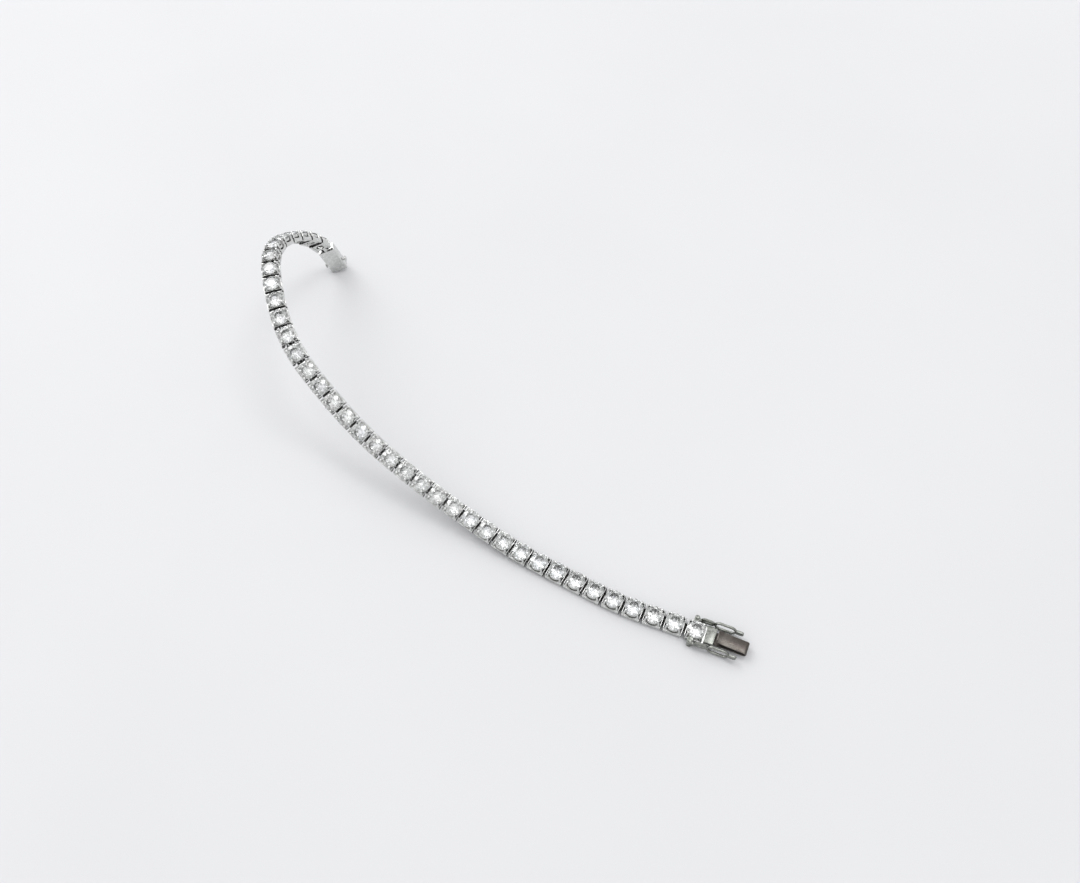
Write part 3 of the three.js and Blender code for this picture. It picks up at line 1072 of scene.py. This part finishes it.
@dataclass
class ChainLink:
    """One link: two rails about a block that is open behind the stone, a basket and two hinge halves."""

    pitch: float = 4.8
    width: float = 4.5
    rail_length: float = 4.24
    rail_width: float = 0.7
    underside: float = -0.75
    base_top: float = 0.36
    rail_dip: float = 0.16
    dip_half_span: float = 1.35
    dip_sides: int = 96
    foot_rounding: float = 0.22
    side_rounding: float = 0.12
    cutter_reach: float = 3.0
    block_length: float = 3.3
    block_bottom: float = -0.62
    block_top: float = 0.12
    block_rounding: float = 0.08
    open_back: float = 1.05
    back_sides: int = 24
    hinge_overlap: float = 0.25
    recess_start: float = 1.2
    wall_depth: float = 0.12
    hinge: Hinge = field(default_factory=Hinge)
    basket: Basket = field(default_factory=Basket)
    stone: RoundBrilliant = field(default_factory=RoundBrilliant)

    def rail(self, side: int) -> Workpiece:
        """One side rail, its top dipping in an arch below the stone.

        Args:
            side: 1 or -1.

        Returns:
            The rail.
        """
        edges = sorted((side * self.width / 2, side * (self.width / 2 - self.rail_width)))
        half = self.rail_length / 2
        piece = Workpiece.block((-half, edges[0], self.underside), (half, edges[1], self.base_top))
        outer = self.width / 2 - JUST_PAST
        piece.rounded(self.foot_rounding, 3, lambda middle, way: along(Y)(middle, way) and middle.z < 0)
        piece.rounded(self.side_rounding, 3, lambda middle, way: abs(middle.y) > outer)
        arch_radius = (self.dip_half_span**2 + self.rail_dip**2) / (2 * self.rail_dip)
        arch_height = self.base_top + arch_radius - self.rail_dip
        start, end = (0, -self.cutter_reach, arch_height), (0, self.cutter_reach, arch_height)
        arch = Workpiece.bar(start, end, arch_radius, self.dip_sides)
        return piece.with_cut(arch)

    def base(self) -> Workpiece:
        """The two rails and the block between them, bored open at the back."""
        half = self.block_length / 2
        reach = self.width / 2 - self.rail_width / 2
        piece = Workpiece.block((-half, -reach, self.block_bottom), (half, reach, self.block_top))
        piece.rounded(self.block_rounding, 1, along(Y))
        piece.with_added(self.rail(1), self.rail(-1))
        bottom, top = (0, 0, self.underside - OVERRUN), (0, 0, self.base_top + OVERRUN)
        bore = Workpiece.bar(bottom, top, self.open_back, self.back_sides)
        return piece.with_cut(bore)

    def in_painted_shade(self, middle: Vector, normal: Vector) -> bool:
        """Whether a face gets the painted shade, near black, where shade falls in the hinge and between
        links.

        Args:
            middle: The face's middle.
            normal: The face's normal.

        Returns:
            True in the hinge and on the walls that face the next link.
        """
        inside_rails = self.width / 2 - self.rail_width + 0.05
        basket = self.basket
        in_hinge = (
            abs(middle.x) > self.recess_start
            and abs(middle.y) < inside_rails
            and middle.z < self.hinge.radius + JUST_PAST
        )
        end_wall = (
            abs(normal.x) > 0.3
            and abs(middle.x) > basket.bar_out - self.wall_depth
            and middle.z < basket.bar_top + JUST_PAST
        )
        return in_hinge or end_wall

    def setting(self, finishes: Finishes) -> Workpiece:
        """Models the whole metal link.

        Args:
            finishes: What it is dressed in.

        Returns:
            The setting.
        """
        piece = self.basket.assemble(self.base(), self.stone, (-1, 1))
        root = self.block_length / 2 - self.hinge_overlap
        piece.with_added(self.hinge.tab(-root, -self.pitch / 2), *self.hinge.ears(root, self.pitch / 2))
        # The hinge and the walls that face the next link get the painted shade
        return piece.cleaned().dressed(finishes.metal, finishes.painted_shade).shaded(1, self.in_painted_shade)


@dataclass
class Chain:
    """The 36 links of the bracelet, each a setting, its riveted pin and its stone."""

    link: ChainLink = field(default_factory=ChainLink)
    stone_turn: float = 2.39996
    tolerance: float = 1.0

    def build(self, route: Route, finishes: Finishes) -> None:
        """Models one link and sets a copy of it at each place on the route.

        Args:
            route: The line that the chain follows.
            finishes: What it is dressed in.
        """
        setting = self.link.setting(finishes)
        # The whole hinge pin gets the painted shade, near black
        pin = self.link.hinge.riveted_pin(self.link.pitch / 2).cleaned().dressed(finishes.painted_shade)
        stone = self.link.stone.cut().dressed(finishes.stone)
        for index, place in enumerate(route.link_frames()):
            node = f"link_{index + 1:02d}"
            self._check(node, place)
            spin = Matrix.Rotation(index * self.stone_turn, 4, "Z")
            hand_over(setting.copied(), f"{node}_setting", place, Body.BRACELET, Slot.WHITE_METAL, node)
            hand_over(pin.copied(), f"{node}_pin", place, Body.BRACELET, Slot.WHITE_METAL, node)
            hand_over(stone.copied(), f"{node}_stone", place @ spin, Body.BRACELET, Slot.STONE, node)
        for template in (setting, pin, stone):
            template.scrap()

    def _check(self, node: str, place: Matrix) -> None:
        """Says so if a link's place is not where the CAD has it.

        Args:
            node: The CAD node.
            place: The link's axes, in millimetres.
        """
        low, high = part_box(node)
        apart = ((low + high) / 2 / MM - place.translation).length
        if apart > self.tolerance:
            log.warning("%s lies %.2f mm from its CAD node", node, apart)


# -------------------------------------------------------------------------------------------------
# Clasp
# -------------------------------------------------------------------------------------------------
@dataclass
class ClaspHead:
    """The end link with its stone, the shoulder with the tongue's slot, and the lugs that carry the latches.

    x runs outwards from its hinge pin.
    """

    link: ChainLink = field(default_factory=ChainLink)
    start: float = 0.75
    length: float = 6.9
    stone_x: float = 2.5
    shoulder_start: float = 4.7
    shoulder_width: float = 4.3
    shoulder_top: float = 1.15
    slot_depth: float = 1.6
    slot_width: float = 3.3
    slot_bottom: float = -0.15
    slot_top: float = 0.35
    latch_x: float = 1.9
    latch_y: float = 3.0
    lug_radius: float = 0.6
    lug_bore: float = 0.30
    lug_overlap: float = 0.4
    lug_rounding: float = 0.06
    hinge_overlap: float = 0.3
    lug_levels: tuple[tuple[float, float], ...] = ((-0.75, -0.4), (0.85, 1.2))

    def lug(self, side: int, bottom: float, top: float) -> Workpiece:
        """One ear of a latch hinge: a plate that reaches out from the side, round at its end and drilled.

        Args:
            side: 1 or -1.
            bottom: Its lower face.
            top: Its upper face.

        Returns:
            The lug.
        """
        outer = side * (self.latch_y + self.lug_radius)
        edges = sorted((side * (self.link.width / 2 - self.lug_overlap), outer))
        piece = Workpiece.block(
            (self.latch_x - self.lug_radius, edges[0], bottom),
            (self.latch_x + self.lug_radius, edges[1], top),
        )
        piece.rounded(
            self.lug_radius * ROUND_END,
            6,
            lambda middle, way: along(Z)(middle, way) and abs(middle.y - outer) < EXACTLY,
        )
        piece.rounded(
            self.lug_rounding,
            2,
            lambda middle, way: across(Z)(middle, way) and abs(middle.y) > self.link.width / 2,
        )
        at = (self.latch_x, side * self.latch_y)
        bore = Workpiece.bar((*at, bottom - OVERRUN), (*at, top + OVERRUN), self.lug_bore, 16)
        return piece.with_cut(bore)

    def body(self) -> Workpiece:
        """The base and shoulder, slotted for the tongue and bored open behind the stone."""
        half = self.link.width / 2
        base = Workpiece.block(
            (self.start, -half, self.link.underside), (self.length, half, self.link.base_top)
        )
        base.rounded(self.link.side_rounding, 3)
        shoulder = Workpiece.block(
            (self.shoulder_start, -self.shoulder_width / 2, self.link.underside + 0.1),
            (self.length, self.shoulder_width / 2, self.shoulder_top),
        )
        shoulder.rounded(0.28, 4, lambda middle, way: along(X)(middle, way) and middle.z > 0)
        shoulder.rounded(0.10, 2, lambda middle, way: middle.z > 0.2 and abs(way.x) < 0.9)
        slot = Workpiece.block(
            (self.length - self.slot_depth, -self.slot_width / 2, self.slot_bottom),
            (self.length + OVERRUN, self.slot_width / 2, self.slot_top),
        )
        bottom, top = (self.stone_x, 0, -2), (self.stone_x, 0, 2)
        bore = Workpiece.bar(bottom, top, self.link.open_back, self.link.back_sides)
        return base.with_added(shoulder).with_cut(slot, bore)

    def on_clasp_side(self, middle: Vector, normal: Vector) -> bool:
        """Whether a face is on the shoulder, the lugs or the head's sides, which match the latches."""
        return middle.x > self.shoulder_start or abs(middle.y) > self.link.width / 2 - 0.02

    def in_painted_shade(self, middle: Vector, normal: Vector) -> bool:
        """Whether a face gets the painted shade, near black, where shade falls in the hinge and the tongue's
        slot.

        Args:
            middle: The face's middle, from the hinge pin.
            normal: The face's normal.

        Returns:
            True in the hinge and in the tongue's slot.
        """
        in_hinge = middle.x < self.start + self.hinge_overlap and abs(middle.y) < 1.3 and middle.z < 0.8
        slot_start = self.length - self.slot_depth
        on_slot = in_slot(middle, slot_start, self.slot_width, self.slot_bottom, self.slot_top)
        return in_hinge or (on_slot and normal.x < 0.5)

    def build(self, route: Route, finishes: Finishes) -> None:
        """Models the head and its stone, and sets them in place.

        Args:
            route: The line that the chain follows.
            finishes: What they are dressed in.
        """
        at_stone = Matrix.Translation((self.stone_x, 0, 0))
        base = self.body().placed(at_stone.inverted())
        piece = self.link.basket.assemble(base, self.link.stone, (-1,)).placed(at_stone)
        piece.with_added(*self.link.hinge.ears(self.start + self.hinge_overlap, 0))
        for side in (-1, 1):
            piece.with_added(*[self.lug(side, bottom, top) for bottom, top in self.lug_levels])
        # The hinge and the tongue's slot get the painted shade
        piece.cleaned().dressed(finishes.metal, finishes.painted_shade, finishes.latch)
        piece.shaded(2, self.on_clasp_side).shaded(1, self.in_painted_shade)
        place = route.head_frame()
        hand_over(piece, "clasp_head_setting", place, Body.BRACELET, Slot.WHITE_METAL, "clasp_head")
        pin = self.link.hinge.riveted_pin(0).cleaned().dressed(finishes.metal)
        hand_over(pin, "clasp_head_pin", place, Body.BRACELET, Slot.WHITE_METAL, "clasp_head")
        stone = self.link.stone.cut().dressed(finishes.stone)
        hand_over(stone, "clasp_head_stone", place @ at_stone, Body.BRACELET, Slot.STONE, "clasp_head")


@dataclass
class SpringTongue:
    """One strip folded back on itself: the lower leaf, the fold, and the upper leaf with its catch.

    x runs outwards from the head's hinge pin.
    """

    root: float = 5.4
    tip: float = 14.3
    bottom: float = -0.05
    width: float = 3.0
    thickness: float = 0.3
    fold_radius: float = 0.65
    fold_steps: int = 10
    leaf_steps: int = 6
    leaf_curve: float = 1.5
    edge_rounding: float = 0.05
    merge_distance: float = 0.005
    mouth_height: float = 1.6
    catch_x: float = 7.3
    catch_height: float = 0.45
    catch_width: float = 2.2

    def build(self, route: Route, finishes: Finishes) -> None:
        """Draws the strip from its root, round the fold and back to the catch.

        Args:
            route: The line that the chain follows.
            finishes: What it is dressed in.
        """
        fold_x = self.tip - self.fold_radius
        fold_z = self.bottom + self.fold_radius
        rise = self.mouth_height + self.thickness / 2 - (2 * self.fold_radius - self.thickness / 2)
        start = (self.root, 0, self.bottom + self.thickness / 2)
        piece = Workpiece.start(
            bpy.ops.mesh.primitive_plane_add, size=1, location=start, rotation=(0, math.pi / 2, 0)
        )
        with piece.picked(Part.FACE):
            bpy.ops.transform.resize(value=(1, self.width, self.thickness), center_override=start)
            bpy.ops.mesh.extrude_region_move(TRANSFORM_OT_translate={"value": (fold_x - self.root, 0, 0)})
            bpy.ops.mesh.spin(
                steps=self.fold_steps, angle=math.pi, center=(fold_x, 0, fold_z), axis=(0, 1, 0)
            )
            steps, curve = self.leaf_steps, self.leaf_curve
            reach = (self.catch_x + self.thickness - fold_x) / steps
            for step in range(steps):
                share = ((step + 1) / steps) ** curve - (step / steps) ** curve
                bpy.ops.mesh.extrude_region_move(TRANSFORM_OT_translate={"value": (reach, 0, rise * share)})
            bpy.ops.mesh.extrude_region_move(TRANSFORM_OT_translate={"value": (-self.thickness, 0, 0)})
            bpy.ops.mesh.select_all(action="SELECT")
            bpy.ops.mesh.remove_doubles(threshold=self.merge_distance)
            bpy.ops.mesh.normals_make_consistent(inside=False)
        self._raise_catch(piece)
        piece.modified(
            "BEVEL",
            width=self.edge_rounding,
            segments=2,
            limit_method="ANGLE",
            angle_limit=math.radians(40),
        )
        piece.cleaned().dressed(finishes.spring)
        place = route.head_frame()
        hand_over(piece, "clasp_tongue_strip", place, Body.BRACELET, Slot.SPRING_METAL, "clasp_tongue")

    def _raise_catch(self, piece: Workpiece) -> None:
        """Turns the end of the upper leaf up into the catch that a thumb presses.

        Args:
            piece: The strip.
        """
        beyond = self.catch_x + self.thickness + JUST_PAST

        def at_leaf_end(middle: Vector, normal: Vector) -> bool:
            """Whether a face is the top of the upper leaf's end."""
            return normal.z > 0.5 and middle.x < beyond and middle.z > self.mouth_height

        with piece.picked(Part.FACE, at_leaf_end):
            bpy.ops.mesh.extrude_region_move(TRANSFORM_OT_translate={"value": (0, 0, self.catch_height)})
            bpy.ops.transform.resize(value=(1, self.catch_width / self.width, 1))


@dataclass
class SafetyLatch:
    """A figure-eight safety latch: a barrel, a small loop by it, a long loop and a lip for the fingernail.

    x runs outwards from its hinge pin.
    """

    thickness: float = 0.62
    height: float = 0.75
    barrel_radius: float = 0.55
    barrel_bore: float = 0.30
    barrel_bottom: float = -0.34
    barrel_top: float = 0.79
    small_start: float = 0.9
    small_length: float = 3.3
    small_height: float = 1.9
    small_wire: float = 0.42
    long_start: float = 3.85
    long_length: float = 5.2
    long_height: float = 3.0
    long_wire: float = 0.27
    lip_start: float = 8.5
    lip_length: float = 2.1
    lip_height: float = 1.2
    lip_roundness: float = 0.98
    neck_start: tuple[float, float] = (0.2, -0.2)
    neck_end: tuple[float, float] = (1.5, 0.68)

    def loop(self, start: float, length: float, height: float, wire: float) -> Workpiece:
        """Bends a wire into a long ring standing on edge: a round ring is pulled apart at its middle.

        Args:
            start: Where it starts along x.
            length: Its length.
            height: Its height.
            wire: The wire's radius.

        Returns:
            The loop.
        """
        piece = Workpiece.start(
            bpy.ops.mesh.primitive_torus_add,
            major_radius=height / 2 - wire,
            minor_radius=wire,
            major_segments=28,
            minor_segments=12,
            location=(start + height / 2, 0, self.height),
            rotation=(math.pi / 2, 0, 0),
        )
        with piece.picked(Part.POINT, lambda place: place.x > start + height / 2 + 1e-4):
            bpy.ops.transform.translate(value=(length - height, 0, 0))
        with piece.picked(Part.POINT):
            flatten = self.thickness / (2 * wire)
            bpy.ops.transform.resize(value=(1, flatten, 1), center_override=(0, 0, 0))
        return piece

    def lip(self) -> Workpiece:
        """The flat lip at the end, rounded."""
        half = self.lip_height / 2
        piece = Workpiece.block(
            (self.lip_start, -self.thickness / 2, self.height - half),
            (self.lip_start + self.lip_length, self.thickness / 2, self.height + half),
        )
        piece.rounded(half * self.lip_roundness, 6, along(Y))
        return piece.rounded(0.14, 2, lambda middle, way: abs(way.y) < 0.9)

    def build(self, name: str, side: int, body: Body, place: Matrix, finishes: Finishes) -> None:
        """Models one latch and sets it in place.

        Args:
            name: The latch's CAD node.
            side: 1 or -1.
            body: The CAD body that it is.
            place: The axes at its pin, in millimetres.
            finishes: What it is dressed in.
        """
        bottom, top = (0, 0, self.barrel_bottom), (0, 0, self.barrel_top)
        barrel = Workpiece.bar(bottom, top, self.barrel_radius, 28)
        barrel.rounded(0.07, 2, across(Z))
        half = self.thickness / 2
        (start, low), (end, high) = self.neck_start, self.neck_end
        neck = Workpiece.block((start, -half, low), (end, half, high))
        neck.rounded(0.12, 3, along(X))
        loops = [
            self.loop(self.small_start, self.small_length, self.small_height, self.small_wire),
            self.loop(self.long_start, self.long_length, self.long_height, self.long_wire),
        ]
        piece = barrel.with_added(neck, *loops, self.lip())
        piece.with_cut(Workpiece.bar((0, 0, -3), (0, 0, 3), self.barrel_bore, 20))
        piece.placed(Matrix.Diagonal((1, side, 1, 1)))
        piece.cleaned().dressed(finishes.latch)
        hand_over(piece, f"{name}_wire", place, body, Slot.LATCH_METAL, name)


@dataclass
class LatchPin:
    """The pin that a latch turns on: a shank through both lugs, with a domed cap."""

    radius: float = 0.25
    bottom: float = -0.75
    cap_bottom: float = 1.22
    cap_radius: float = 0.5
    cap_height: float = 0.26

    def build(self, name: str, place: Matrix, finishes: Finishes) -> None:
        """Models one pin and sets it in place.

        Args:
            name: The pin's CAD node.
            place: The axes at the pin, in millimetres.
            finishes: What it is dressed in.
        """
        top = self.cap_bottom + self.cap_height
        shank = Workpiece.bar((0, 0, self.bottom), (0, 0, top - 0.05), self.radius, 20)
        cap = Workpiece.bar((0, 0, self.cap_bottom), (0, 0, top), self.cap_radius, 24)
        cap.rounded(
            self.cap_height * 0.8,
            4,
            lambda middle, way: across(Z)(middle, way) and middle.z > top - JUST_PAST,
        )
        piece = shank.with_added(cap).cleaned().dressed(finishes.latch)
        hand_over(piece, f"{name}_rivet", place, Body.BRACELET, Slot.LATCH_METAL, name)


@dataclass
class ClaspBox:
    """The box that the tongue snaps into, with a peg on each side for the latches.

    x runs outwards from its hinge.
    """

    start: float = 0.75
    length: float = 8.6
    width: float = 4.5
    underside: float = -0.75
    top: float = 2.0
    slot_depth: float = 7.8
    slot_width: float = 3.4
    slot_bottom: float = -0.3
    slot_top: float = 1.45
    notch_length: float = 1.1
    notch_width: float = 2.6
    peg_radius: float = 0.35
    peg_reach: float = 0.95
    peg_from_mouth: float = 2.2
    peg_height: float = 0.75
    ball_radius: float = 0.78
    ball_flatness: float = 0.38
    hinge_overlap: float = 0.3
    hinge: Hinge = field(default_factory=Hinge)

    def peg(self, side: int) -> Workpiece:
        """A peg that a latch snaps over: a short stem with a flattened ball.

        Args:
            side: 1 or -1.

        Returns:
            The peg.
        """
        x = self.start + self.length - self.peg_from_mouth
        reach = self.width / 2 + self.peg_reach
        root, end = side * (self.width / 2 - 0.3), side * (reach - 0.2)
        stem = Workpiece.bar((x, root, self.peg_height), (x, end, self.peg_height), self.peg_radius)
        ball = Workpiece.start(
            bpy.ops.mesh.primitive_uv_sphere_add,
            segments=20,
            ring_count=12,
            radius=self.ball_radius,
            location=(x, side * (reach - 0.3), self.peg_height),
            scale=(1, self.ball_flatness, 1),
        )
        return stem.with_added(ball)

    def in_painted_shade(self, middle: Vector, normal: Vector) -> bool:
        """Whether a face lies inside the slot, which gets the painted shade.

        Args:
            middle: The face's middle.
            normal: The face's normal.

        Returns:
            True on the slot's own walls.
        """
        slot_start = self.start + self.length - self.slot_depth
        on_slot = in_slot(middle, slot_start, self.slot_width, self.slot_bottom, self.slot_top)
        return on_slot and normal.x < 0.5

    def build(self, route: Route, finishes: Finishes) -> None:
        """Models the box and sets it in place.

        Args:
            route: The line that the chain follows.
            finishes: What it is dressed in.
        """
        mouth = self.start + self.length
        half = self.width / 2
        shell = Workpiece.block((self.start, -half, self.underside), (mouth, half, self.top))
        shell.rounded(0.22, 4, along(X))
        shell.rounded(0.10, 2, across(X))
        slot = Workpiece.block(
            (mouth - self.slot_depth, -self.slot_width / 2, self.slot_bottom),
            (mouth + OVERRUN, self.slot_width / 2, self.slot_top),
        )
        notch = Workpiece.block(
            (mouth - self.notch_length, -self.notch_width / 2, self.slot_top - 0.1),
            (mouth + OVERRUN, self.notch_width / 2, self.top + OVERRUN),
        )
        notch.rounded(0.4, 4, along(Z))
        piece = shell.with_cut(slot, notch)
        piece.with_added(self.hinge.tab(self.start + self.hinge_overlap, 0), self.peg(-1), self.peg(1))
        # The slot's walls get the painted shade
        piece.cleaned().dressed(finishes.metal, finishes.painted_shade).shaded(1, self.in_painted_shade)
        hand_over(piece, "clasp_box_shell", route.box_frame(), Body.BRACELET, Slot.WHITE_METAL, "clasp_box")


@dataclass
class Clasp:
    """Both ends of the bracelet: head, tongue and latches at one, and the box at the other."""

    head: ClaspHead = field(default_factory=ClaspHead)
    tongue: SpringTongue = field(default_factory=SpringTongue)
    latch: SafetyLatch = field(default_factory=SafetyLatch)
    latch_pin: LatchPin = field(default_factory=LatchPin)
    box: ClaspBox = field(default_factory=ClaspBox)

    def build(self, route: Route, finishes: Finishes) -> None:
        """Builds the clasp, piece by piece.

        Args:
            route: The line that the chain follows.
            finishes: What it is dressed in.
        """
        self.head.build(route, finishes)
        self.tongue.build(route, finishes)
        for name, side, body in (("left", 1, Body.LEFT_LATCH), ("right", -1, Body.RIGHT_LATCH)):
            at_pin = Matrix.Translation((self.head.latch_x, side * self.head.latch_y, 0))
            place = route.head_frame() @ at_pin
            self.latch.build(f"latch_{name}", side, body, place, finishes)
            self.latch_pin.build(f"latch_pin_{name}", place, finishes)
        self.box.build(route, finishes)


# -------------------------------------------------------------------------------------------------
# Studio
# -------------------------------------------------------------------------------------------------
@dataclass(frozen=True)
class SoftBox:
    """A square soft light: its name, place, size in metres and power in watts."""

    name: str
    place: tuple[float, float, float]
    size: float
    power: float


@dataclass
class Studio:
    """A pale table in soft daylight, and the camera."""

    floor_height: float = -27.46
    floor_size: float = 6.0
    target: tuple[float, float, float] = (65.0, -28.7, -27.2)
    distance: float = 261.7
    elevation: float = 55.0
    lens: float = 35.0
    sensor: float = 36.0
    backdrop: float = 0.80
    clutter: float = 0.35
    clutter_scale: float = 5.0
    bright_way: tuple[float, float, float] = (-0.35, 0.62, 0.70)
    dim_side: float = 0.74
    bright_side: float = 1.10
    dim_until: float = -0.75
    bright_from: float = 0.95
    clutter_range: tuple[float, float] = (0.38, 0.62)
    room_colour: tuple[float, float, float, float] = (0.985, 0.99, 1.0, 1)
    boxes: tuple[SoftBox, ...] = (
        SoftBox("window_light", (-0.8, 0.8, 1.0), 0.9, 9.0),
        SoftBox("ceiling_light", (0.45, 0.15, 1.3), 0.5, 3.0),
    )

    def _floor(self) -> None:
        """Lays the table top."""
        table = Workpiece.start(
            bpy.ops.mesh.primitive_plane_add, size=self.floor_size, location=(0, 0, self.floor_height * MM)
        )
        table.made.name = "table_top"
        table.dressed(PaleTable().material())

    def _camera(self) -> None:
        """Sets the camera up, looking along +Y and down."""
        tilt = math.radians(self.elevation)
        look = Vector((0, math.cos(tilt), -math.sin(tilt)))
        deselect_all()
        bpy.ops.object.camera_add(
            location=(Vector(self.target) - look * self.distance) * MM, rotation=(math.pi / 2 - tilt, 0, 0)
        )
        camera = bpy.context.object
        camera.data.lens = self.lens
        camera.data.sensor_width = self.sensor
        camera.data.clip_start = 0.01
        bpy.context.scene.camera = camera

    def _lights(self) -> None:
        """Hangs the soft lights, each turned to the bracelet."""
        target = Vector(self.target) * MM
        for box in self.boxes:
            way = target - Vector(box.place)
            deselect_all()
            turn = way.to_track_quat("-Z", "Y").to_euler()
            bpy.ops.object.light_add(type="AREA", location=box.place, rotation=turn)
            light = bpy.context.object
            light.name = box.name
            light.data.shape = "SQUARE"
            light.data.size = box.size
            light.data.energy = box.power

    def _room(self) -> None:
        """Lights the room softly, brighter at the back and above, and unevenly, so that the facets differ."""
        world = bpy.data.worlds.new("pale_room")
        world.use_nodes = True
        nodes, links = world.node_tree.nodes, world.node_tree.links
        way = nodes.new("ShaderNodeVectorMath")
        way.operation = "DOT_PRODUCT"
        towards = nodes.new("ShaderNodeTexCoord").outputs["Generated"]
        links.new(towards, way.inputs[0])
        way.inputs[1].default_value = self.bright_way
        level = nodes.new("ShaderNodeMapRange")
        level.interpolation_type = "SMOOTHSTEP"
        links.new(way.outputs["Value"], level.inputs[0])
        levels = (self.dim_until, self.bright_from, self.dim_side, self.bright_side)
        for index, value in enumerate(levels):
            level.inputs[index + 1].default_value = value
        clutter = nodes.new("ShaderNodeTexNoise")
        clutter.inputs["Scale"].default_value = self.clutter_scale
        links.new(towards, clutter.inputs["Vector"])
        uneven = nodes.new("ShaderNodeMapRange")
        links.new(clutter.outputs["Fac"], uneven.inputs[0])
        for index, value in enumerate((*self.clutter_range, 1 - self.clutter, 1 + self.clutter)):
            uneven.inputs[index + 1].default_value = value
        both = nodes.new("ShaderNodeMath")
        both.operation = "MULTIPLY"
        links.new(level.outputs[0], both.inputs[0])
        links.new(uneven.outputs[0], both.inputs[1])
        seen = nodes.new("ShaderNodeMix")
        links.new(nodes.new("ShaderNodeLightPath").outputs["Is Camera Ray"], seen.inputs[0])
        links.new(both.outputs[0], seen.inputs[2])
        seen.inputs[3].default_value = self.backdrop
        background = nodes["Background"]
        background.inputs["Color"].default_value = self.room_colour
        links.new(seen.outputs[0], background.inputs["Strength"])
        bpy.context.scene.world = world

    def build(self) -> None:
        """Builds the studio."""
        self._floor()
        self._camera()
        self._lights()
        self._room()
        bpy.context.scene.view_settings.view_transform = "Standard"


def main() -> None:
    """Builds the bracelet and its studio."""
    logging.basicConfig(level=logging.INFO, format="%(name)s: %(message)s")
    route = Route()
    finishes = Finishes()
    Chain().build(route, finishes)
    Clasp().build(route, finishes)
    Studio().build()


if __name__ == "__main__":
    main()
